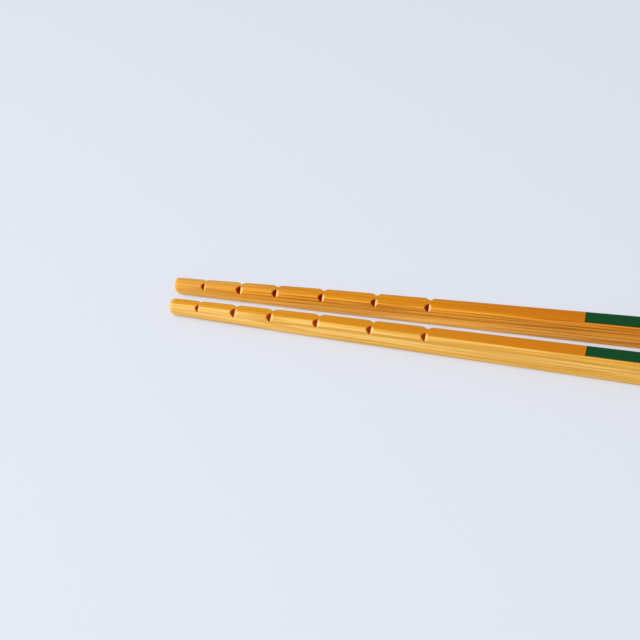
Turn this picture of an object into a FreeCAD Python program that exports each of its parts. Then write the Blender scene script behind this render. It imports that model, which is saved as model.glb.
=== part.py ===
import FreeCAD, Part
import math
import os

import Sketcher

Vector = FreeCAD.Vector

# Driving dimensions of one stick and of the way the pair lies, in millimetres and degrees.
# Each stick's own X axis runs along its middle, from zero at the tip to the head. Its +Z side is the bark.
# The neck is where the fast taper of the eating end turns into the slow one that runs on to the head.
DIMENSIONS = {
    "stick_length": 230.0,
    "neck_length": 30.0,
    "tip_side": 3.07,
    "neck_side": 3.98,
    "head_side": 7.3,
    "tip_corner": 1.24,
    "neck_corner": 1.24,
    "head_corner": 0.62,
    "tip_round": 1.35,
    "head_break": 0.3,
    "notch_tilt": 34.0,
    "notch_reach": 1.75,
    "notch_angle": 118.0,
    "notch_station_one": 6.3,
    "notch_station_two": 13.9,
    "notch_station_three": 21.4,
    "notch_station_four": 30.9,
    "notch_station_five": 41.7,
    "notch_station_six": 52.5,
    "tip_spacing": 7.63,
    "half_spread": 1.38,
    "front_lead": 1.26,
}
STATIONS = [name for name in DIMENSIONS if name.startswith("notch_station")]
PLACES = ("tip", "neck", "head")

# The flats that round each long corner, by their turn in degrees from one face towards the next.
CORNER_FLATS = (22.5, 45, 67.5)

# How far a cutting profile runs on past the wood that it cuts away, and how far outside the long
# corners the round of the tip leaves the wood.
CUT_MARGIN = 0.5
ROUND_MARGIN = 0.05

# The names that sketch constraints use for a line's ends, an arc's centre, the origin and the axes.
START, END, CENTRE = range(1, 4)
X_AXIS, Y_AXIS = range(-1, -3, -1)
ORIGIN = (X_AXIS, START)


def make_sheet(doc):
    """The sheet that holds the driving dimensions, one named cell each."""
    sheet = doc.addObject("Spreadsheet::Sheet", "sizes")
    for row, (name, size) in enumerate(DIMENSIONS.items(), start=1):
        sheet.set(f"A{row}", name)
        sheet.set(f"B{row}", str(size))
        sheet.setAlias(f"B{row}", name)
    doc.recompute()


def datum(body, role):
    """The plane or axis of the body's own origin that has this role."""
    return next(feature for feature in body.Origin.OriginFeatures if feature.Role == role)


def new_sketch(body, name, plane, turn=0):
    """An empty sketch on one of the body's own planes, turned about the stick's axis by some degrees."""
    sketch = body.newObject("Sketcher::SketchObject", name)
    sketch.AttachmentSupport = [(datum(body, plane), "")]
    sketch.MapMode = "FlatFace"
    sketch.AttachmentOffset = FreeCAD.Placement(Vector(), FreeCAD.Rotation(Vector(1, 0, 0), turn))
    return sketch


def constrain(sketch, kind, *where):
    """One constraint without a size."""
    sketch.addConstraint(Sketcher.Constraint(kind, *where))


def drive(sketch, name, formula, drawn, kind, *where):
    """A named dimension of the sketch: its size as first drawn, and the formula that then sets it."""
    index = sketch.addConstraint(Sketcher.Constraint(kind, *where, drawn))
    sketch.renameConstraint(index, name)
    sketch.setExpression(f"Constraints.{name}", formula)


def add_chain(sketch, points, closed=True):
    """Straight lines from point to point, joined end to end. Gives the index of the first line."""
    first = sketch.GeometryCount
    ends = points[1:] + points[:1] if closed else points[1:]
    for start, end in zip(points, ends):
        sketch.addGeometry(Part.LineSegment(Vector(*start, 0), Vector(*end, 0)), False)
    last = sketch.GeometryCount - 1
    for line in range(first, last):
        constrain(sketch, "Coincident", line, END, line + 1, START)
    if closed:
        constrain(sketch, "Coincident", last, END, first, START)
    return first


def grown(size, station):
    """The formula of a size at a distance from the tip: it runs straight to the neck, and straight on."""
    tip, neck, head = (f"sizes.{place}_{size}" for place in PLACES)
    near = f"{tip} + ({neck} - {tip}) * {station} / sizes.neck_length"
    left = f"(sizes.stick_length - {station}) / (sizes.stick_length - sizes.neck_length)"
    return f"({station} < sizes.neck_length ? {near} : {head} + ({neck} - {head}) * {left})"


def add_slab(body):
    """The slab that tapers in height alone, as wide all along as the head."""
    sketch = new_sketch(body, "side_profile", "XZ_Plane")
    neck, length = DIMENSIONS["neck_length"], DIMENSIONS["stick_length"]
    tip_side, neck_side, head_side = (DIMENSIONS[f"{place}_side"] for place in PLACES)
    under = add_chain(sketch, [(0, -tip_side / 2), (neck, -neck_side / 2), (length, -head_side / 2),
                               (length, head_side / 2), (neck, neck_side / 2), (0, tip_side / 2)])
    head_end, upper, tip_end = under + 2, under + 3, under + 5
    for lower_point, upper_point in (((head_end, START), (head_end, END)), ((under, END), (upper, END)),
                                     ((tip_end, START), (tip_end, END))):
        constrain(sketch, "Symmetric", *lower_point, *upper_point, X_AXIS)
    constrain(sketch, "PointOnObject", tip_end, START, Y_AXIS)
    drive(sketch, "neck", "sizes.neck_length", neck, "DistanceX", *ORIGIN, under, END)
    drive(sketch, "length", "sizes.stick_length", length, "DistanceX", *ORIGIN, head_end, START)
    drive(sketch, "tip_height", "sizes.tip_side", tip_side, "DistanceY", tip_end, END, tip_end, START)
    drive(sketch, "neck_height", "sizes.neck_side", neck_side, "DistanceY", under, END, upper, END)
    drive(sketch, "head_height", "sizes.head_side", head_side, "DistanceY", head_end, START, head_end, END)
    slab = body.newObject("PartDesign::Pad", "slab")
    slab.Profile = sketch
    slab.Midplane = True
    slab.setExpression("Length", "sizes.head_side")


def waste_profile(body, name, plane, turn, heights):
    """The waste outside two straight cuts that meet at the neck, at set heights above the stick's axis."""
    sketch = new_sketch(body, name, plane, turn)
    neck, length = DIMENSIONS["neck_length"], DIMENSIONS["stick_length"]
    low, high = DIMENSIONS["tip_side"] / 2, DIMENSIONS["head_side"]
    near = add_chain(sketch, [(0, low), (neck, low), (length, low), (length, high), (0, high)])
    far, head_end, top, tip_end = near + 1, near + 2, near + 3, near + 4
    constrain(sketch, "PointOnObject", near, START, Y_AXIS)
    constrain(sketch, "Vertical", head_end)
    constrain(sketch, "Horizontal", top)
    constrain(sketch, "Vertical", tip_end)
    drive(sketch, "neck", "sizes.neck_length", neck, "DistanceX", *ORIGIN, near, END)
    drive(sketch, "length", "sizes.stick_length", length, "DistanceX", *ORIGIN, far, END)
    corners = [(near, START), (near, END), (far, END)]
    for place, height, corner in zip(PLACES, heights, corners):
        drive(sketch, f"{place}_height", height, low, "DistanceY", *ORIGIN, *corner)
    drive(sketch, "waste_height", "sizes.head_side", high, "DistanceY", *ORIGIN, top, START)
    return sketch


def add_cut(doc, body, name, profile):
    """A cut of this profile, to both sides of its plane and past the stick's far corners."""
    cut = body.newObject("PartDesign::Pocket", name)
    cut.Profile = profile
    cut.Midplane = True
    cut.setExpression("Length", "2 * sizes.head_side")
    doc.recompute()
    return cut


def mirror_across(doc, body, name, cut):
    """The same cut on the other side of the stick's upright middle plane."""
    mirror = body.newObject("PartDesign::Mirrored", name)
    mirror.Originals = [cut]
    mirror.MirrorPlane = (datum(body, "XZ_Plane"), [""])
    body.Tip = mirror
    doc.recompute()


def add_side_tapers(doc, body):
    """Both sides cut to the same taper as the height, so that the section is square all along."""
    heights = [f"sizes.{place}_side / 2" for place in PLACES]
    profile = waste_profile(body, "side_waste", "XY_Plane", 0, heights)
    rear = add_cut(doc, body, "rear_taper", profile)
    mirror_across(doc, body, "front_taper", rear)


def add_round_corners(doc, body):
    """The four long corners, each rounded by flats that touch the same quarter circle."""
    for number, turn in enumerate(CORNER_FLATS, start=1):
        slant = f"(cos({turn}) + sin({turn}))"
        heights = [f"(sizes.{place}_side / 2 - sizes.{place}_corner) * {slant} + sizes.{place}_corner"
                   for place in PLACES]
        profile = waste_profile(body, f"corner_waste_{number}", "XZ_Plane", -turn, heights)
        flat = add_cut(doc, body, f"first_flat_{number}", profile)
        ring = body.newObject("PartDesign::PolarPattern", f"flats_{number}")
        ring.Originals = [flat]
        ring.Axis = (datum(body, "X_Axis"), [""])
        ring.Angle = 360
        ring.Occurrences = 4
        body.Tip = ring
        doc.recompute()


def add_notch_outline(sketch, station):
    """One V of the notch profile. Its floor meets the bark face at a set reach from the side face."""
    place = f"sizes.{station}"
    corner_height = f"{grown('side', place)} / 2 * (sin(sizes.notch_tilt) + cos(sizes.notch_tilt))"
    floor_height = f"{corner_height} - sizes.notch_reach * sin(sizes.notch_tilt)"
    rise = f"(sizes.notch_reach + {CUT_MARGIN})"
    middle, floor, lip = DIMENSIONS[station], DIMENSIONS["tip_side"] / 2, DIMENSIONS["tip_side"]
    reach = lip - floor
    wall = add_chain(sketch, [(middle - reach, lip), (middle, floor), (middle + reach, lip)])
    mouth = wall + 2
    constrain(sketch, "Horizontal", mouth)
    constrain(sketch, "Equal", wall, wall + 1)
    drive(sketch, station, place, middle, "DistanceX", *ORIGIN, wall, END)
    drive(sketch, f"{station}_floor", floor_height, floor, "DistanceY", *ORIGIN, wall, END)
    drive(sketch, f"{station}_rise", rise, reach, "DistanceY", wall, END, wall, START)
    drive(sketch, f"{station}_mouth", f"2 * {rise} * tan(sizes.notch_angle / 2)", 2 * reach,
          "DistanceX", mouth, END, mouth, START)


def add_notches(doc, body):
    """V-notches square across the rear corner of the bark face, and their mirror image on the front one."""
    profile = new_sketch(body, "notch_profile", "XZ_Plane")
    tilted = "placement(vector(0; 0; 0); rotation(0; 0; -sizes.notch_tilt))"
    profile.setExpression("AttachmentOffset", tilted)
    doc.recompute()
    for station in STATIONS:
        add_notch_outline(profile, station)
    rear = add_cut(doc, body, "rear_notches", profile)
    mirror_across(doc, body, "front_notches", rear)


def add_rounded_tip(doc, body):
    """The tip turned to a blunt round end, by a cut that goes all round the stick's axis."""
    sketch = new_sketch(body, "tip_profile", "XZ_Plane")
    radius = DIMENSIONS["tip_round"]
    reach = DIMENSIONS["tip_side"] / 2
    circle = Part.Circle(Vector(radius, reach - radius, 0), Vector(0, 0, 1), radius)
    arc = sketch.addGeometry(Part.ArcOfCircle(circle, math.pi / 2, math.pi), False)
    rise = add_chain(sketch, [(radius, reach), (radius, reach + 1), (-1, reach + 1),
                              (-1, reach - radius), (0, reach - radius)], closed=False)
    outside, drop, inward = rise + 1, rise + 2, rise + 3
    constrain(sketch, "Coincident", arc, START, rise, START)
    constrain(sketch, "Coincident", inward, END, arc, END)
    constrain(sketch, "Vertical", rise)
    constrain(sketch, "Horizontal", outside)
    constrain(sketch, "Vertical", drop)
    constrain(sketch, "Horizontal", inward)
    constrain(sketch, "Vertical", arc, CENTRE, arc, START)
    constrain(sketch, "Horizontal", arc, CENTRE, arc, END)
    constrain(sketch, "PointOnObject", arc, END, Y_AXIS)
    half_side, corner = f"{grown('side', 'sizes.tip_round')} / 2", grown("corner", "sizes.tip_round")
    corner_reach = f"({half_side} - {corner}) * sqrt(2) + {corner}"
    blunt_radius = f"{corner_reach} + {ROUND_MARGIN} - sizes.tip_round"
    drive(sketch, "round_radius", "sizes.tip_round", radius, "Radius", arc)
    drive(sketch, "blunt_radius", blunt_radius, reach - radius, "DistanceY", *ORIGIN, arc, END)
    drive(sketch, "outer_margin", str(CUT_MARGIN), 1, "DistanceY", rise, START, rise, END)
    drive(sketch, "end_margin", str(CUT_MARGIN), 1, "DistanceX", inward, START, *ORIGIN)
    turned = body.newObject("PartDesign::Groove", "rounded_tip")
    turned.Profile = sketch
    turned.ReferenceAxis = (sketch, ["H_Axis"])
    turned.Angle = 360
    doc.recompute()


def add_head_break(doc, body):
    """The sawn head's edges, lightly broken."""
    solid = body.Tip
    head_face = max(range(len(solid.Shape.Faces)), key=lambda face: solid.Shape.Faces[face].CenterOfMass.x)
    edge_break = body.newObject("PartDesign::Chamfer", "head_break")
    edge_break.Base = (solid, [f"Face{head_face + 1}"])
    edge_break.setExpression("Size", "sizes.head_break")
    doc.recompute()


def lay_down(body, side_of_pair):
    """Tilts the stick until it rests level from the neck to the head, and turns and moves it to its place."""
    run = "(sizes.stick_length - sizes.neck_length)"
    taper = f"atan((sizes.head_side - sizes.neck_side) / 2 / {run})"
    height = f"sizes.neck_side / 2 * cos({taper}) - sizes.neck_length * sin({taper})"
    back = "sizes.stick_length / 2 * cos(sizes.half_spread)"
    place = (f"vector({side_of_pair} * sizes.front_lead / -2 - {back}; "
             f"{side_of_pair} * sizes.tip_spacing / 2; {height})")
    turn = f"rotation({side_of_pair} * sizes.half_spread; -{taper}; 0)"
    body.setExpression("Placement", f"placement({place}; {turn})")


def make_stick(doc, name, side_of_pair):
    """One whole chopstick. The side of the pair is 1 for the rear stick and -1 for the front one."""
    body = doc.addObject("PartDesign::Body", name)
    body.Label = name
    add_slab(body)
    doc.recompute()
    volumes = [body.Shape.Volume]
    for cut in (add_side_tapers, add_round_corners, add_notches, add_rounded_tip, add_head_break):
        cut(doc, body)
        volumes.append(body.Shape.Volume)
    print(f"{name}: volume after each step", [round(volume, 1) for volume in volumes])
    if any(after >= before for before, after in zip(volumes, volumes[1:])):
        raise RuntimeError(f"{name}: a cut took nothing away")
    lay_down(body, side_of_pair)
    return body


def check(doc, sticks):
    """Stops unless every object is up to date and every stick is one valid solid."""
    for item in doc.Objects:
        if "Invalid" in item.State or "Error" in item.State:
            raise RuntimeError(f"{item.Label} failed: {item.State}")
    for stick in sticks:
        if stick.Shape.isNull() or not stick.Shape.isValid() or len(stick.Shape.Solids) != 1:
            raise RuntimeError(f"{stick.Label} is not one valid solid")


def main():
    doc = FreeCAD.newDocument("chopsticks")
    make_sheet(doc)
    sticks = [make_stick(doc, "rear_chopstick", 1), make_stick(doc, "front_chopstick", -1)]
    doc.recompute()
    check(doc, sticks)
    os.makedirs("parts", exist_ok=True)
    for stick in sticks:
        stick.Shape.exportStep(f"parts/{stick.Label}.step")
        print(f"{stick.Label}: {len(stick.Shape.Faces)} faces, {stick.Shape.BoundBox}")


main()
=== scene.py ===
# %% [markdown]
# A pair of bamboo chopsticks lies on a pale table, tips to the left. Each stick is one piece of split
# bamboo: a square that tapers to the tip, with its four long corners rounded, its tip blunt and six
# small V-notches cut across each of the two upper corners, so that food doesn't slip. The smooth upper
# face is the bark of the cane. From a hand's width behind the tip that face is lacquered green.
#
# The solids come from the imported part. This script gives them their looks: a finer mesh of each stick
# with softened edges, and the finish of the wood, the cuts and the lacquer.

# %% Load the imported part
import math
from types import SimpleNamespace

import bpy
from mathutils import Euler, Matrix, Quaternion, Vector


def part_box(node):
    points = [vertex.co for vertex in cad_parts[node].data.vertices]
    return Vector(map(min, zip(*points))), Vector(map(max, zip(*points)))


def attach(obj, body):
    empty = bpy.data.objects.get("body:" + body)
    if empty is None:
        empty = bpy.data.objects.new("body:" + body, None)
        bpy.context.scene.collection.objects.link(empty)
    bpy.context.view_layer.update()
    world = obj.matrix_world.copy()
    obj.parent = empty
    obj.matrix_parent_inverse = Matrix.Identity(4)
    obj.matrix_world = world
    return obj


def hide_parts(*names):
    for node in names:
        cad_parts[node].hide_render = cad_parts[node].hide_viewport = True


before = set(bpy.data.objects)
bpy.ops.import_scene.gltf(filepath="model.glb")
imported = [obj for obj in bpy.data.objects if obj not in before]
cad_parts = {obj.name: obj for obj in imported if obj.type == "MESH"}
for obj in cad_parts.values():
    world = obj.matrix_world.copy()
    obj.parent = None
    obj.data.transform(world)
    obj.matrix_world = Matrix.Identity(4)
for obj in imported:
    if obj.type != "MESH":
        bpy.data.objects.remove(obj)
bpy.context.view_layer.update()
print("solids:", sorted(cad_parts))

# %% [markdown]
# Every size of the stick is a named value, so the shape can be read from one place. Lengths are in
# metres, because Blender's unit is the metre, and a millimetre is easier to think in, so there is a
# name for it. A side is the width of the square at the tip, at the neck or at the head, and a corner
# is the radius of its rounding there. The sizes are those of the solids. The tip's rounding and the
# cuts differ a little, as handwork does: the first notch has a share of the depth of the others.

# %% The sizes of one stick
MM = 0.001
REAR_BOX, FRONT_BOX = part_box("rear_chopstick"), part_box("front_chopstick")

STICK_LENGTH = 230.0 * MM
NECK_LENGTH = 30.0 * MM
TIP_SIDE, NECK_SIDE, HEAD_SIDE = 3.07 * MM, 3.98 * MM, 7.3 * MM
TIP_CORNER, NECK_CORNER, HEAD_CORNER = 1.24 * MM, 1.24 * MM, 0.62 * MM
REAR_TIP_ROUND, FRONT_TIP_ROUND, TIP_ROUND_BELOW = 0.5 * MM, 0.9 * MM, 1.5 * MM
HEAD_BREAK = 0.3 * MM
FIRST_NOTCH_TILT, LAST_NOTCH_TILT = math.radians(44), math.radians(34)
NOTCH_DEPTH = 0.47 * MM
FIRST_NOTCH_SHARE = 0.74
NOTCH_ANGLE = math.radians(118)
NOTCH_LEAN = math.radians(4.5)
NOTCH_STATIONS = [station * MM for station in (6.3, 13.9, 21.4, 30.9, 41.7, 52.5)]
HALF_SPREAD = math.radians(1.38)

for box in (REAR_BOX, FRONT_BOX):
    print("box of a solid in mm:", [round(1000 * side, 2) for side in box[1] - box[0]])

# %% [markdown]
# The sticks lie with their tips a little closer together than their heads. Each lies flat from the
# neck to the head, which tilts its middle line by half the taper. The place and the turn of a stick
# are used twice: they move its mesh, and they bring the wood's pattern back into line with the grain.

# %% Where each stick lies
TILT = math.atan((HEAD_SIDE - NECK_SIDE) / 2 / (STICK_LENGTH - NECK_LENGTH))
TIP_HEIGHT = NECK_SIDE / 2 * math.cos(TILT) - NECK_LENGTH * math.sin(TILT)
TIP_SPACING = 7.63 * MM
FRONT_LEAD = 1.26 * MM


def stick_place(side_of_pair):
    """The middle of the tip and the turn of a stick: side 1 is the rear stick, -1 the front one."""
    back = STICK_LENGTH / 2 * math.cos(HALF_SPREAD)
    place = Vector((-side_of_pair * FRONT_LEAD / 2 - back, side_of_pair * TIP_SPACING / 2, TIP_HEIGHT))
    return place, Euler((0, -TILT, side_of_pair * HALF_SPREAD))


for side_of_pair in (1, -1):
    print("tip and turn:", stick_place(side_of_pair))

# %% [markdown]
# Both Geometry Nodes and the shader do a lot of arithmetic here. Built by hand, a formula is a dozen
# Math nodes. This small class holds one socket, and each Python operator on it adds the Math node that
# does the same, so a formula reads as a formula. It works in both kinds of tree, because they share
# the Math node. Any other node is added by one function that takes its settings and its inputs.

# %% Write node maths as Python
def connect(socket, value):
    """Links a wire to a socket, or sets a plain value on it."""
    if isinstance(value, Wire):
        socket.id_data.links.new(value.socket, socket)
    else:
        socket.default_value = value


def add_node(tree, kind, settings=None, inputs=None, output=0):
    """Adds a node, sets its properties first and its sockets next, and gives one of its outputs."""
    node = tree.nodes.new(kind)
    for name, value in (settings or {}).items():
        setattr(node, name, value)
    for name, value in (inputs or {}).items():
        connect(node.inputs[name], value)
    return Wire(node.outputs[output])


class Wire:
    """One output socket, on which Python's operators and a few functions work."""

    def __init__(self, socket):
        self.socket = socket

    def math(self, operation, *others):
        values = dict(enumerate((self, *others)))
        return add_node(self.socket.id_data, "ShaderNodeMath", {"operation": operation}, values)

    def __add__(self, other):
        return self.math("ADD", other)

    __radd__ = __add__

    def __sub__(self, other):
        return self.math("SUBTRACT", other)

    def __rsub__(self, other):
        return (self * -1) + other

    def __mul__(self, other):
        return self.math("MULTIPLY", other)

    __rmul__ = __mul__

    def __truediv__(self, other):
        return self.math("DIVIDE", other)

    def __gt__(self, other):
        return self.math("GREATER_THAN", other)

    def __lt__(self, other):
        return self.math("LESS_THAN", other)

    def __abs__(self):
        return self.math("ABSOLUTE")

    def clamp(self):
        return self.math("MAXIMUM", 0.0).math("MINIMUM", 1.0)

    def all_outputs(self):
        """Every output of the node that this one belongs to."""
        return [Wire(output) for output in self.socket.node.outputs]


def ramp(value, start, end):
    """0 at the start, 1 at the end, and straight between them. The end may be the smaller number."""
    return ((value - start) / (end - start)).clamp()


def blend(first, second, share):
    """The first value where the share is 0, and the second where it is 1."""
    return first + (second - first) * share


print("node maths is ready")

# %% [markdown]
# The stick could be a cube with loop cuts and boolean notches. But its shape follows a rule: a square
# with rounded corners that shrinks along a line. So a spine of points, one for each ring of the mesh,
# is swept with a circle, and one Set Position then moves every point of that tube to where the rule
# puts it. The spine decides how fine the mesh is: its rings lie close together round the tip and at
# each notch, and far apart on the plain wood behind them.

# %% The spine: one point for each ring of the mesh
TIP_RINGS = 14
NOTCH_ZONE = 1.15 * MM
FINE_STEP = 0.05 * MM
PLAIN_STEP = 1.5 * MM


def spread(start, end, step):
    """Evenly spaced stations from the start up to the end, without the end itself."""
    count = max(1, round((end - start) / step))
    return [start + (end - start) * index / count for index in range(count)]


def ring_stations():
    """The distance of each ring from the tip."""
    angles = [math.pi / 2 * index / TIP_RINGS for index in range(TIP_RINGS)]
    stations = [TIP_ROUND_BELOW * (1 - math.cos(angle)) for angle in angles]
    reached = TIP_ROUND_BELOW
    for notch in NOTCH_STATIONS:
        stations += spread(reached, notch - NOTCH_ZONE, PLAIN_STEP)
        stations += spread(notch - NOTCH_ZONE, notch, FINE_STEP)
        stations += spread(notch, notch + NOTCH_ZONE, FINE_STEP)
        reached = notch + NOTCH_ZONE
    head = STICK_LENGTH - HEAD_BREAK
    return stations + spread(reached, head, PLAIN_STEP) + [head, STICK_LENGTH]


RINGS = ring_stations()
print(len(RINGS), "rings along each stick")

# %% [markdown]
# The long corners are rounded, and it shows where a notch crosses one: its outline is a lens, widest in
# the middle. The solids round them with three flats each. Here each is the quarter circle that those
# flats touch. Round the stick, each quarter turn holds one flat face and one corner, so the rule is
# worked out for one quarter and then turned. On a face the points crowd towards the corners, because
# the notches reach onto its ends and need them there.

# %% The section: a square with rounded corners
POINTS_PER_QUARTER = 24
FACE_POINTS = 10
CROWDING = 0.6


def crowded(share):
    """Moves evenly spaced shares between 0 and 1 towards both ends."""
    return share - (share * math.tau).math("SINE") * (CROWDING / math.tau)


def tapered(station, sizes, size):
    """A size at a station: straight from the tip to the neck, and straight on from there to the head."""
    near = (station / sizes["Neck length"]).clamp()
    far = ((station - sizes["Neck length"]) / (sizes["Stick length"] - sizes["Neck length"])).clamp()
    to_neck = blend(sizes[f"Tip {size}"], sizes[f"Neck {size}"], near)
    return to_neck + (sizes[f"Head {size}"] - sizes[f"Neck {size}"]) * far


def section_point(turn, half_side, corner):
    """Where a point of the circle goes. The turn is in quarters, 0 in the middle of a face."""
    half_face = FACE_POINTS / POINTS_PER_QUARTER / 2
    quarter = (turn + half_face).math("FLOOR")
    share = turn + half_face - quarter
    on_face = crowded((share / (2 * half_face)).clamp())
    bend = ((share - 2 * half_face) / (1 - 2 * half_face)).clamp() * (math.pi / 2)
    out = half_side - corner * (1 - bend.math("COSINE"))
    along = (half_side - corner) * (2 * on_face - 1) + corner * bend.math("SINE")
    cosine = (quarter * (math.pi / 2)).math("COSINE")
    sine = (quarter * (math.pi / 2)).math("SINE")
    return out * cosine - along * sine, out * sine + along * cosine


print(4 * POINTS_PER_QUARTER, "points round each ring")

# %% [markdown]
# A notch is a V cut straight across a corner, tilted a little towards the bark. A point that sticks
# out beyond the floor of the V, measured square to that floor, is pulled down onto it. A smooth
# maximum in place of a plain one rounds the lips by a few hundredths of a millimetre, as lacquer does.
# The cuts are made by hand: the first is shallower than the others, those near the tip sit lower on
# the corner, and each V leans, so that its wall nearer the tip is the flatter one.

# %% The notches
LIP_SOFTNESS = 0.2 * MM
NOTCH_NAMES = [f"Notch {number}" for number in range(1, len(NOTCH_STATIONS) + 1)]


def to_nearest_notch(station, sizes):
    """The signed distance to the nearest notch: below 0 on its wall nearer the tip."""
    nearest = station - sizes[NOTCH_NAMES[0]]
    for name in NOTCH_NAMES[1:]:
        distance = station - sizes[name]
        nearest = blend(nearest, distance, abs(distance) < abs(nearest))
    return nearest


def notch_floor(station, half_side, corner, sizes):
    """The tilt of the nearest notch, and how far its floor lies from the middle of the stick."""
    first, second, last = (sizes[NOTCH_NAMES[index]] for index in (0, 1, -1))
    tilt = blend(sizes["First notch tilt"], sizes["Last notch tilt"], ramp(station, first, last))
    past_first = station > (first + second) / 2
    depth = sizes["Notch depth"] * blend(sizes["First notch share"], 1.0, past_first)
    reach = (half_side - corner) * (tilt.math("SINE") + tilt.math("COSINE")) + corner
    return tilt, reach - depth


def notch_pull(across, up, distance, tilt, floor, sizes):
    """How far a point is pulled square to the notch's floor."""
    half_angle = sizes["Notch angle"] / 2 - sizes["Notch lean"] * distance.math("SIGN")
    wall = abs(distance) / half_angle.math("TANGENT")
    above = abs(across) * tilt.math("SINE") + up * tilt.math("COSINE") - floor - wall
    return above.math("SMOOTH_MAX", 0.0, LIP_SOFTNESS)


print("the notch rule is ready for", len(NOTCH_NAMES), "notches")

# %% [markdown]
# The tip is blunt, and rounder below than above. A ball of that radius would have to roll along the end
# of the section. It is simpler to shrink each ring near the tip towards the middle line, by as much as
# the quarter circle of the rounding asks at that station.

# %% The rounded tip
def tip_scale(station, across, up, sizes):
    """How much the rounding of the tip shrinks a point of a ring towards the middle line."""
    reach = (across * across + up * up).math("SQRT")
    radius = blend(sizes["Tip round above"], sizes["Tip round below"], (1 - up / reach) / 2)
    half_side = tapered(radius, sizes, "side") / 2
    corner = tapered(radius, sizes, "corner")
    widest = (half_side - corner) * math.sqrt(2) + corner
    back = (radius - station).math("MAXIMUM", 0.0)
    limit = widest - radius + (radius * radius - back * back).math("SQRT")
    return blend(1.0, (limit / reach).math("MINIMUM", 1.0), station < radius)


print("the tip rule is ready")

# %% [markdown]
# Now the tree. Its group inputs are the stick's sizes by name, so that another stick needs no new
# tree: the two sticks here differ in how blunt their tips are above, and in their wood. The list holds
# the front stick's rounding, and each stick gets its own when it is made.

# %% The named inputs of the stick's tree
SIZES = {
    "Stick length": STICK_LENGTH, "Neck length": NECK_LENGTH,
    "Tip side": TIP_SIDE, "Neck side": NECK_SIDE, "Head side": HEAD_SIDE,
    "Tip corner": TIP_CORNER, "Neck corner": NECK_CORNER, "Head corner": HEAD_CORNER,
    "Tip round above": FRONT_TIP_ROUND, "Tip round below": TIP_ROUND_BELOW, "Head break": HEAD_BREAK,
    "First notch tilt": FIRST_NOTCH_TILT, "Last notch tilt": LAST_NOTCH_TILT,
    "Notch depth": NOTCH_DEPTH, "First notch share": FIRST_NOTCH_SHARE,
    "Notch angle": NOTCH_ANGLE, "Notch lean": NOTCH_LEAN,
    **dict(zip(NOTCH_NAMES, NOTCH_STATIONS)),
}
OTHER_INPUTS = {"Place": "NodeSocketVector", "Turn": "NodeSocketVector", "Wood": "NodeSocketMaterial"}


def add_inputs(tree):
    """Adds the named inputs of the tree, and gives the wire of each inside it."""
    kinds = {"Geometry": "NodeSocketGeometry", **dict.fromkeys(SIZES, "NodeSocketFloat"), **OTHER_INPUTS}
    for name, kind in kinds.items():
        tree.interface.new_socket(name, in_out="INPUT", socket_type=kind)
    inputs = add_node(tree, "NodeGroupInput").all_outputs()
    return {wire.socket.name: wire for wire in inputs if wire.socket.name}


print(len(SIZES), "sizes go into the tree")

# %% [markdown]
# The tree sweeps the tube, works out where each point goes, and moves it there. On the way it stores
# what the finish needs to know at each point, in millimetres: how far it lies below the bark face, from
# where the front corner begins and from the middle, and how deep a notch has cut there, with a minus
# sign on the wall nearer the tip.

# %% Build the Geometry Nodes tree of a stick
def store(tree, geometry, name, value):
    """Keeps a number at every point, under a name that the shader can read."""
    return add_node(tree, "GeometryNodeStoreNamedAttribute", {"data_type": "FLOAT", "domain": "POINT"},
                    {"Geometry": geometry, "Name": name, "Value": value})


def sweep_tube(tree, spine):
    """A plain tube along the spine, with a closed end at the tip and at the head."""
    line = add_node(tree, "GeometryNodeMeshToCurve", {}, {"Mesh": spine})
    circle = add_node(tree, "GeometryNodeCurvePrimitiveCircle", {"mode": "RADIUS"},
                      {"Resolution": 4 * POINTS_PER_QUARTER, "Radius": MM})
    return add_node(tree, "GeometryNodeCurveToMesh", {},
                    {"Curve": line, "Profile Curve": circle, "Fill Caps": True})


def shape_tube(tree, tube, sizes):
    """Moves the points of the tube to the stick's surface, and stores what the finish reads."""
    position = add_node(tree, "GeometryNodeInputPosition")
    station, tube_y, tube_z = add_node(tree, "ShaderNodeSeparateXYZ", {}, {"Vector": position}).all_outputs()
    head_break = sizes["Head break"]
    worn = ramp(station, sizes["Stick length"] - head_break, sizes["Stick length"]) * head_break
    half_side = tapered(station, sizes, "side") / 2 - worn
    corner = tapered(station, sizes, "corner") - worn
    turn = tube_z.math("ARCTAN2", tube_y) / (math.pi / 2)
    across, up = section_point(turn, half_side, corner)

    distance = to_nearest_notch(station, sizes)
    tilt, floor = notch_floor(station, half_side, corner, sizes)
    pull = notch_pull(across, up, distance, tilt, floor, sizes)
    notched_across = across - pull * across.math("SIGN") * tilt.math("SINE")
    notched_up = up - pull * tilt.math("COSINE")
    scale = tip_scale(station, across, up, sizes)

    mesh = store(tree, tube, "from_front_corner", (across + half_side - corner) / MM)
    mesh = store(tree, mesh, "below_bark", (half_side - up) / MM)
    mesh = store(tree, mesh, "towards_back", across / MM)
    mesh = store(tree, mesh, "cut", pull * distance.math("SIGN") / MM)
    place = add_node(tree, "ShaderNodeCombineXYZ", {},
                     {"X": station, "Y": notched_across * scale, "Z": notched_up * scale})
    return add_node(tree, "GeometryNodeSetPosition", {}, {"Geometry": mesh, "Position": place})


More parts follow.
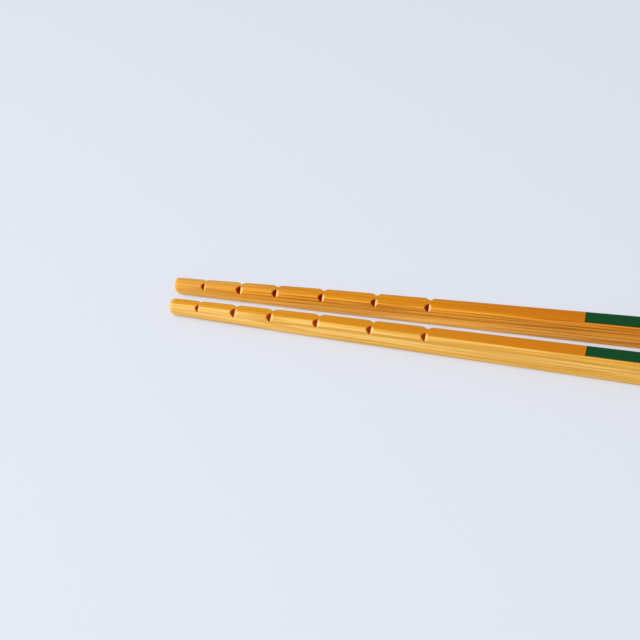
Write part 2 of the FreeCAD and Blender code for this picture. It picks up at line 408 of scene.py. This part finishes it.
def stick_tree():
    """The tree that turns a spine into a finished stick."""
    tree = bpy.data.node_groups.new("stick", "GeometryNodeTree")
    sizes = add_inputs(tree)
    mesh = shape_tube(tree, sweep_tube(tree, sizes["Geometry"]), sizes)
    mesh = add_node(tree, "GeometryNodeSetShadeSmooth", {}, {"Geometry": mesh, "Shade Smooth": True})
    mesh = add_node(tree, "GeometryNodeTransform", {},
                    {"Geometry": mesh, "Translation": sizes["Place"], "Rotation": sizes["Turn"]})
    mesh = add_node(tree, "GeometryNodeRealizeInstances", {}, {"Geometry": mesh})
    mesh = add_node(tree, "GeometryNodeSetMaterial", {}, {"Geometry": mesh, "Material": sizes["Wood"]})
    tree.interface.new_socket("Geometry", in_out="OUTPUT", socket_type="NodeSocketGeometry")
    connect(tree.nodes.new("NodeGroupOutput").inputs[0], mesh)
    return tree


STICK_TREE = stick_tree()
print(len(STICK_TREE.nodes), "nodes in the stick's tree")

# %% [markdown]
# Colours are written as the 0 to 255 numbers that a picture shows. A shader wants light, not picture
# numbers, so each is turned into linear light first.

# %% Colours that both sticks share
def linear(*picture):
    """A colour in linear light from red, green and blue between 0 and 255."""
    shares = [value / 255 for value in picture]
    light = [share / 12.92 if share <= 0.04045 else ((share + 0.055) / 1.055) ** 2.4 for share in shares]
    return (*light, 1.0)


GREEN_LACQUER = linear(4, 71, 32)
GREEN_EDGE = linear(4, 44, 18)
BARK_AT_TIP = linear(226, 150, 22)
BARK_AT_LACQUER = linear(207, 117, 0)
BARK_GLINT = linear(240, 172, 56)
# The two walls of a notch: painted shade and painted light.
SHADED_CUT_BROWN = linear(190, 100, 22)
LIT_CUT_PALE = linear(252, 206, 138)
print("green lacquer in linear light:", [round(value, 3) for value in GREEN_LACQUER])

# %% [markdown]
# Bamboo is a bundle of straight fibres. On the split sides they show as fine lengthwise streaks and a
# few darker lines; the bark face is smooth and even. The streaks come from Noise textures that are
# stretched about a hundred times along the stick. A Mapping node set to Texture undoes the stick's
# place and turn, so the streaks follow the grain and not the table. The number for the cane moves the
# noise, so that each stick has streaks of its own. From here on, places on the stick are in
# millimetres, as the stored numbers are.

# %% Read the wood: where a point lies, and the streaks there
BROAD_STREAK = {"length": 50 * MM, "width": 0.5 * MM, "detail": 2.0}
FINE_STREAK = {"length": 34 * MM, "width": 0.33 * MM, "detail": 1.0}
GREEN_START = 83.0
FAR_TONE = GREEN_START + 10.0


def mix_colour(tree, first, second, share):
    """A colour between two colours. On a Mix node, sockets 6 and 7 and output 2 are the colours."""
    return add_node(tree, "ShaderNodeMix", {"data_type": "RGBA"}, {0: share, 6: first, 7: second}, 2)


def attribute(tree, name):
    """A number that the stick's tree stored at every point."""
    return add_node(tree, "ShaderNodeAttribute", {"attribute_name": name}, {}, "Fac")


def streaks(tree, grain, streak, cane):
    """Noise that is stretched along the grain."""
    length, width = streak["length"], streak["width"]
    scaled = add_node(tree, "ShaderNodeMapping", {"vector_type": "POINT"},
                      {"Vector": grain, "Scale": (1 / length, 1 / width, 1 / width),
                       "Location": (cane, cane, 0)})
    return add_node(tree, "ShaderNodeTexNoise", {"noise_dimensions": "3D"},
                    {"Vector": scaled, "Scale": 1.0, "Detail": streak["detail"], "Roughness": 0.5})


def read_wood(tree, side_of_pair, look):
    """What the finish needs to know at a point: its place in the stick and the streaks there."""
    place, turn = stick_place(side_of_pair)
    position = add_node(tree, "ShaderNodeTexCoord", {}, {}, "Object")
    grain = add_node(tree, "ShaderNodeMapping", {"vector_type": "TEXTURE"},
                     {"Vector": position, "Location": place, "Rotation": turn})
    along = add_node(tree, "ShaderNodeSeparateXYZ", {}, {"Vector": grain}, "X") / MM
    broad = streaks(tree, grain, BROAD_STREAK, look["cane"])
    fine = streaks(tree, grain, FINE_STREAK, look["cane"])
    bands = ramp((broad + fine) / 2, 0.5 - look["contrast"], 0.5 + look["contrast"])
    return SimpleNamespace(along=along, depth=attribute(tree, "below_bark"), broad=broad, fine=fine,
                           bands=bands, to_lacquer=ramp(along, 0.0, FAR_TONE))


print("broad and fine streaks, in mm wide:", BROAD_STREAK["width"] / MM, FINE_STREAK["width"] / MM)

# %% [markdown]
# The split sides go from a pale tone to a dark one with the streaks, and both tones deepen towards the
# lacquer. Lower on the sides, deeper in the cane, the wood is paler: partly the paler inner wood, and
# partly painted light that the table throws back up. Over that lie single fibres: the ones that stand
# out in the photograph are listed for each stick, and the noise breaks them up a little. The first line
# of the rear stick is no fibre but a painted highlight along its rounded corner.

# %% The split sides
# The paler lower sides: partly inner wood, partly painted light bounced up from the table.
INNER_AND_BOUNCE_STARTS, INNER_AND_BOUNCE_FULL = 1.5, 3.0
INNER_AND_BOUNCE_FADES = (40, 90)
INNER_AND_BOUNCE_ON_DARK, INNER_AND_BOUNCE_ON_PALE = 0.6, 1.0
CORNER_ENDS = (0.75, 0.6)
CORNER_ON_DARK, CORNER_ON_PALE = 0.9, 0.6
LINE_FADES_IN, LINE_FADES_OUT = 25, 12
LINE_BREAKS = (0.2, 0.45)
DARK_FIBRES, PALE_FIBRES = (0.52, 0.64), (0.48, 0.36)
DARK_FIBRE_SHARE, PALE_FIBRE_SHARE = 0.6, 0.55


def side_colour(tree, at, look):
    """The wood of the split sides."""
    pale = mix_colour(tree, look["pale_tip"], look["pale_far"], at.to_lacquer)
    dark = mix_colour(tree, look["dark_tip"], look["dark_far"], at.to_lacquer)
    wood = mix_colour(tree, dark, pale, at.bands)
    inner_wood_and_bounce = blend(look["inner_and_bounce_near"], look["inner_and_bounce_far"], ramp(at.along, *INNER_AND_BOUNCE_FADES))
    inner_wood_and_bounce = ramp(at.depth, INNER_AND_BOUNCE_STARTS, INNER_AND_BOUNCE_FULL) * inner_wood_and_bounce
    wood = mix_colour(tree, wood, look["inner_wood_and_bounce"], inner_wood_and_bounce * blend(INNER_AND_BOUNCE_ON_DARK, INNER_AND_BOUNCE_ON_PALE, at.bands))
    corner = mix_colour(tree, look["corner_tip"], look["corner_far"], at.to_lacquer)
    corner_share = ramp(at.depth, *CORNER_ENDS) * blend(CORNER_ON_DARK, CORNER_ON_PALE, at.bands)
    wood = mix_colour(tree, wood, corner, corner_share)
    for middle, half_width, tone, first, last, strength in look["lines"]:
        line = (1 - abs(at.depth - middle) / half_width).clamp() * ramp(at.broad, *LINE_BREAKS)
        reach = ramp(at.along, first, first + LINE_FADES_IN) * ramp(at.along, last + LINE_FADES_OUT, last)
        wood = mix_colour(tree, wood, look[tone], line * reach * strength)
    wood = mix_colour(tree, wood, look["line"], ramp(at.fine, *DARK_FIBRES) * DARK_FIBRE_SHARE)
    return mix_colour(tree, wood, look["glint"], ramp(at.fine, *PALE_FIBRES) * PALE_FIBRE_SHARE)


print("deeper wood is paler from", INNER_AND_BOUNCE_STARTS, "mm below the bark")

# %% [markdown]
# The bark face is darker and smoother. It ends part of the way round the corner, where the split side
# begins, and glints a little near the tip. The tip itself is rubbed pale.

# %% The bark and the rubbed tip
SOFT_EDGE = 0.03
BARK_EDGE_MOVES = (5, 45)
BARK_DARK_FIBRES = (0.5, 0.64)
BARK_GLINT_FADES = (70, 20)
BARK_FIBRE_SHARE = 0.4
RUBBED_SIDE, RUBBED_BARK, RUBBED_END = (16, 4), (28, 8), (1.2, 0.2)
RUBBED_END_SHARE = 0.7


def bark_share(at, look):
    """1 on the bark face, 0 on the split sides."""
    edge = blend(look["bark_depth_tip"], look["bark_depth_far"], ramp(at.along, *BARK_EDGE_MOVES))
    return ramp(at.depth - edge, SOFT_EDGE, -SOFT_EDGE)


def bark_colour(tree, at, look):
    """The smooth outer face of the cane."""
    colour = mix_colour(tree, BARK_AT_TIP, BARK_AT_LACQUER, at.to_lacquer)
    colour = mix_colour(tree, colour, look["line"], ramp(at.fine, *BARK_DARK_FIBRES) * BARK_FIBRE_SHARE)
    glint = ramp(at.fine, *PALE_FIBRES) * ramp(at.along, *BARK_GLINT_FADES)
    return mix_colour(tree, colour, BARK_GLINT, glint * BARK_FIBRE_SHARE)


def rub_tip(tree, at, look, bark, colour):
    """Paints the rubbed tip over a colour."""
    rubbed = blend(ramp(at.along, *RUBBED_SIDE), ramp(at.along, *RUBBED_BARK), bark)
    colour = mix_colour(tree, colour, look["tip"], rubbed * look["tip_share"])
    return mix_colour(tree, colour, look["glint"], ramp(at.along, *RUBBED_END) * RUBBED_END_SHARE)


print("the bark ends over", 2 * SOFT_EDGE, "mm")

# %% [markdown]
# The green lacquer is a coat on the bark face: it starts in a straight line across the stick, where it
# is a little darker, and ends along the front corner. The mask that says where it lies also lifts the
# surface in the Bump node, so the coat has an edge.
#
# In a notch the fresh wood shows, and its light and shade are painted. The wall nearer the head,
# which faces the light, is painted pale as lit. The other one is painted dark brown as shade, darker
# where it is deep, apart from its upper end on the far corner, which is painted pale.

# %% The green lacquer and the walls of the notches
GREEN_REACH = 0.3
GREEN_SOFT = 0.05
GREEN_RIM = 0.3
# Where the painted shade and the painted light lie on a notch's walls.
CUT_STARTS, CUT_SHADE_DEEPENS = (0.02, 0.05), (0.06, 0.14)
LIT_WALL_STARTS = (0.08, 0.16)
LIT_FAR_LIP_ENDS = (0.5, 0.35)


def green_share(tree, at, look):
    """1 where the lacquer lies, 0 elsewhere."""
    behind_start = ramp(at.along, GREEN_START - GREEN_SOFT, GREEN_START + GREEN_SOFT)
    past_edge = attribute(tree, "from_front_corner") + look["green_overlap"]
    return behind_start * (at.depth < GREEN_REACH) * ramp(past_edge, -SOFT_EDGE, SOFT_EDGE)


def lacquer_colour(tree, at):
    """The green, with its darker rim at the start."""
    inside = ramp(at.along, GREEN_START + GREEN_SOFT, GREEN_START + GREEN_RIM)
    return mix_colour(tree, GREEN_EDGE, GREEN_LACQUER, inside)


def paint_cuts(tree, at, look, colour):
    """Paints the walls of the notches over a colour, as painted shade and painted light."""
    cut = attribute(tree, "cut")
    painted_cut_shade = mix_colour(tree, SHADED_CUT_BROWN, look["deep_cut_shade"], ramp(cut * -1, *CUT_SHADE_DEEPENS))
    lit_far_lip = (attribute(tree, "towards_back") > 0.0) * ramp(at.depth, *LIT_FAR_LIP_ENDS)
    painted_cut_shade = mix_colour(tree, painted_cut_shade, LIT_CUT_PALE, lit_far_lip)
    colour = mix_colour(tree, colour, painted_cut_shade, ramp(cut * -1, *CUT_STARTS))
    return mix_colour(tree, colour, LIT_CUT_PALE, ramp(cut, *LIT_WALL_STARTS))


print("the lacquer starts", GREEN_START, "mm behind the tip")

# %% [markdown]
# One function puts the finish together. Only the colour, the roughness and the bump change over the
# surface. What is the same everywhere is set on the shader's own sockets: the clear lacquer is thin
# and satin, so it hardly mirrors anything.

# %% The finish of a stick
SPECULAR, COAT, COAT_ROUGHNESS = 0.04, 0.02, 0.3
WOOD_ROUGHNESS, WOOD_ROUGHNESS_RANGE, BARK_ROUGHNESS = 0.46, 0.12, 0.36
FIBRE_RELIEF = 0.5
BUMP_STRENGTH, BUMP_HEIGHT = 0.5, 0.03 * MM


def wood_finish(name, side_of_pair, look):
    """Lacquered bamboo with its cuts and the green field, for one stick of the pair."""
    material = bpy.data.materials.new(name)
    material.use_nodes = True
    tree = material.node_tree
    shader = tree.nodes["Principled BSDF"]
    at = read_wood(tree, side_of_pair, look)
    bark, green = bark_share(at, look), green_share(tree, at, look)

    colour = mix_colour(tree, side_colour(tree, at, look), bark_colour(tree, at, look), bark)
    colour = rub_tip(tree, at, look, bark, colour)
    colour = mix_colour(tree, colour, lacquer_colour(tree, at), green)
    colour = paint_cuts(tree, at, look, colour)
    connect(shader.inputs["Base Color"], colour)

    roughness = blend(WOOD_ROUGHNESS + at.fine * WOOD_ROUGHNESS_RANGE, BARK_ROUGHNESS, bark)
    connect(shader.inputs["Roughness"], roughness)
    relief = at.fine * (1 - bark) * FIBRE_RELIEF + green
    bump = add_node(tree, "ShaderNodeBump", {},
                    {"Height": relief, "Strength": BUMP_STRENGTH, "Distance": BUMP_HEIGHT})
    connect(shader.inputs["Normal"], bump)

    shader.inputs["Specular IOR Level"].default_value = SPECULAR
    shader.inputs["Coat Weight"].default_value = COAT
    shader.inputs["Coat Roughness"].default_value = COAT_ROUGHNESS
    return material


print("one finish serves both sticks, each with its own look")

# %% [markdown]
# The rear stick is a deeper orange, with strong lines; the front one is paler. A tone has one value at
# the tip and another near the lacquer. In each list of lines stand: how far below the bark face a fibre
# lies and half its width, in millimetres, its tone, the stations between which it stands out, and how
# strongly.

# %% The looks of the two sticks
REAR_LOOK = {
    "cane": 2.0, "contrast": 0.06,
    "pale_tip": linear(240, 172, 62), "pale_far": linear(224, 158, 62),
    "dark_tip": linear(221, 150, 36), "dark_far": linear(198, 119, 18),
    "inner_wood_and_bounce": linear(250, 197, 104), "inner_and_bounce_near": 0.9, "inner_and_bounce_far": 0.35,
    "corner_tip": linear(230, 154, 34), "corner_far": linear(207, 117, 4),
    "glint": linear(246, 174, 72), "line": linear(164, 82, 2),
    # The first line is a painted highlight along the rounded corner, not a fibre.
    "lines": ((0.33, 0.15, "glint", 5, 76, 0.7), (1.0, 0.16, "line", 5, 88, 0.95),
              (1.37, 0.15, "glint", 25, 74, 0.95), (1.87, 0.16, "line", 5, 72, 0.95),
              (1.5, 0.13, "line", 70, 130, 0.95), (2.36, 0.25, "glint", 40, 130, 0.4),
              (3.1, 0.5, "inner_wood_and_bounce", 15, 52, 0.9), (3.5, 0.3, "line", 75, 200, 0.4)),
    "bark_depth_tip": 0.13, "bark_depth_far": 0.13, "green_overlap": 0.5,
    # Last on the next line: the darkest painted shade in the notches.
    "tip": linear(232, 184, 104), "tip_share": 0.35, "deep_cut_shade": linear(116, 20, 0),
}
FRONT_LOOK = {
    "cane": 0.0, "contrast": 0.07,
    "pale_tip": linear(244, 196, 108), "pale_far": linear(234, 180, 84),
    "dark_tip": linear(224, 168, 76), "dark_far": linear(208, 148, 46),
    "inner_wood_and_bounce": linear(244, 195, 107), "inner_and_bounce_near": 0.5, "inner_and_bounce_far": 0.2,
    "corner_tip": linear(242, 195, 109), "corner_far": linear(220, 161, 56),
    "glint": linear(250, 206, 122), "line": linear(200, 140, 44),
    "lines": ((1.08, 0.24, "line", 0, 200, 0.85), (1.75, 0.3, "glint", 5, 90, 0.85),
              (3.3, 0.2, "line", 30, 90, 0.6)),
    "bark_depth_tip": 0.17, "bark_depth_far": 0.1, "green_overlap": 0.3,
    # Last on the next line: the darkest painted shade in the notches.
    "tip": linear(236, 190, 112), "tip_share": 0.05, "deep_cut_shade": linear(140, 48, 0),
}
REAR_WOOD = wood_finish("rear_bamboo", 1, REAR_LOOK)
FRONT_WOOD = wood_finish("front_bamboo", -1, FRONT_LOOK)
print("finishes:", REAR_WOOD.name, FRONT_WOOD.name)

# %% [markdown]
# A modifier's inputs are set by their identifiers, not by their names, and before Blender works the
# tree out for the first time. The result is then kept as a plain mesh, so that nothing changes later.

# %% Make the two sticks
def spine_object(name):
    """A line of points and edges along X, one point for each ring."""
    mesh = bpy.data.meshes.new(name)
    points = [(station, 0, 0) for station in RINGS]
    mesh.from_pydata(points, [(index, index + 1) for index in range(len(points) - 1)], [])
    spine = bpy.data.objects.new(name, mesh)
    bpy.context.scene.collection.objects.link(spine)
    return spine


def make_stick(name, side_of_pair, tip_round, wood):
    """One stick as a plain mesh, in its place in the pair."""
    spine = spine_object(name)
    modifier = spine.modifiers.new("stick", "NODES")
    modifier.node_group = STICK_TREE
    place, turn = stick_place(side_of_pair)
    values = {**SIZES, "Tip round above": tip_round,
              "Place": tuple(place), "Turn": tuple(turn), "Wood": wood}
    for item in STICK_TREE.interface.items_tree:
        if item.in_out == "INPUT" and item.name in values:
            modifier[item.identifier] = values[item.name]
    ready = spine.evaluated_get(bpy.context.evaluated_depsgraph_get())
    mesh = bpy.data.meshes.new_from_object(ready)
    spine.modifiers.clear()
    spine.data = mesh
    print(name, "has", len(mesh.polygons), "faces")
    return spine


REAR_STICK = make_stick("rear_lacquered_stick", 1, REAR_TIP_ROUND, REAR_WOOD)
FRONT_STICK = make_stick("front_lacquered_stick", -1, FRONT_TIP_ROUND, FRONT_WOOD)

# %% [markdown]
# Each finished stick stands for its solid and moves with the part's one body.

# %% Join the looks to the part
for stick, node, slot in ((REAR_STICK, "rear_chopstick", "bamboo_rear"),
                          (FRONT_STICK, "front_chopstick", "bamboo_front")):
    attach(stick, "root")
    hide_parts(node)
    print(stick.name, "stands for", node)

# %% [markdown]
# The table is a plain pale sheet. It isn't part of the object. To the camera, and in a reflection, it is
# half a light of its own colour, so that the gap between the sticks stays pale, while the light that
# the wood gets from it stays that of a plain sheet.

# %% The table
TABLE_COLOUR = linear(227, 231, 241)
TABLE_SIZE = 4.0
TABLE_ROUGHNESS, TABLE_SPECULAR = 0.7, 0.2
TABLE_GLOW = 0.55


def table_finish():
    """A matt pale sheet that glows a little, but only where the camera or a reflection sees it."""
    material = bpy.data.materials.new("table")
    material.use_nodes = True
    tree = material.node_tree
    shader = tree.nodes["Principled BSDF"]
    shader.inputs["Base Color"].default_value = TABLE_COLOUR
    shader.inputs["Roughness"].default_value = TABLE_ROUGHNESS
    shader.inputs["Specular IOR Level"].default_value = TABLE_SPECULAR
    glow = add_node(tree, "ShaderNodeEmission", {}, {"Color": TABLE_COLOUR, "Strength": 1.0})
    rays = {ray.socket.name: ray for ray in add_node(tree, "ShaderNodeLightPath").all_outputs()}
    seen = (rays["Is Camera Ray"] + rays["Is Glossy Ray"] + rays["Is Transmission Ray"]).clamp()
    mixed = add_node(tree, "ShaderNodeMixShader", {},
                     {0: seen * TABLE_GLOW, 1: Wire(shader.outputs[0]), 2: glow})
    connect(tree.nodes["Material Output"].inputs["Surface"], mixed)
    return material


def make_table():
    """A pale floor at the height that the sticks lie on."""
    mesh = bpy.data.meshes.new("table")
    edge = TABLE_SIZE / 2
    corners = [(-edge, -edge, 0), (edge, -edge, 0), (edge, edge, 0), (-edge, edge, 0)]
    mesh.from_pydata(corners, [], [(0, 1, 2, 3)])
    mesh.materials.append(table_finish())
    table = bpy.data.objects.new("table", mesh)
    bpy.context.scene.collection.objects.link(table)
    return table


print("table at height", make_table().location.z)

# %% [markdown]
# The light is soft and comes mostly from the upper left, in front of the tips. It leaves the wall
# nearer the head brighter in each notch than the other one, and the colours of the walls paint that light
# and shade in much more strongly. A lamp that is large for its distance gives soft shadows; the even sky
# fills them.

# %% Light
MIDDLE_OF_VIEW = Vector((-84.46 * MM, 0.4 * MM, 0))
SKY_COLOUR, SKY_STRENGTH = (0.96, 0.98, 1.0, 1.0), 0.62
WINDOW_PLACE, WINDOW_SIZE = (-0.55, -0.4, 0.45), 0.4
WINDOW_COLOUR, WINDOW_POWER = (1.0, 0.98, 0.95), 4.0


def light_sky():
    """The same soft light from every side."""
    sky = bpy.data.worlds.new("even_sky")
    sky.use_nodes = True
    background = sky.node_tree.nodes["Background"]
    background.inputs["Color"].default_value = SKY_COLOUR
    background.inputs["Strength"].default_value = SKY_STRENGTH
    bpy.context.scene.world = sky


def add_lamp(name, place, size, power, colour):
    """A soft square lamp that looks at the middle of the view."""
    light = bpy.data.lights.new(name, "AREA")
    light.size = size
    light.energy = power
    light.color = colour
    lamp = bpy.data.objects.new(name, light)
    lamp.location = place
    lamp.rotation_euler = (Vector(place) - MIDDLE_OF_VIEW).to_track_quat("Z", "Y").to_euler()
    bpy.context.scene.collection.objects.link(lamp)
    return lamp


light_sky()
window = add_lamp("window", WINDOW_PLACE, WINDOW_SIZE, WINDOW_POWER, WINDOW_COLOUR)
print("lamp:", window.name, window.data.energy, "W")

# %% [markdown]
# The camera looks down on the tips from the front, a little from the right, with a long lens. It is
# also rolled by less than a degree.

# %% The camera
CAMERA_TURN = math.radians(14.087)
CAMERA_HEIGHT = math.radians(33.702)
CAMERA_ROLL = math.radians(-0.791)
CAMERA_DISTANCE = 313.0 * MM
LENS = 88.03
SENSOR_WIDTH = 36.0
NEAREST_SEEN = 10 * MM


def make_camera():
    """The camera that sees the tips as in the photograph."""
    level = math.cos(CAMERA_HEIGHT)
    back = Vector((math.sin(CAMERA_TURN) * level, -math.cos(CAMERA_TURN) * level, math.sin(CAMERA_HEIGHT)))
    data = bpy.data.cameras.new("camera")
    data.lens = LENS
    data.sensor_width = SENSOR_WIDTH
    data.clip_start = NEAREST_SEEN
    camera = bpy.data.objects.new("camera", data)
    camera.location = MIDDLE_OF_VIEW + back * CAMERA_DISTANCE
    aim = back.to_track_quat("Z", "Y") @ Quaternion((0, 0, 1), CAMERA_ROLL)
    camera.rotation_euler = aim.to_euler()
    bpy.context.scene.collection.objects.link(camera)
    bpy.context.scene.camera = camera
    return camera


print("camera at", [round(value, 3) for value in make_camera().location])
bpy.context.scene.view_settings.view_transform = "Standard"
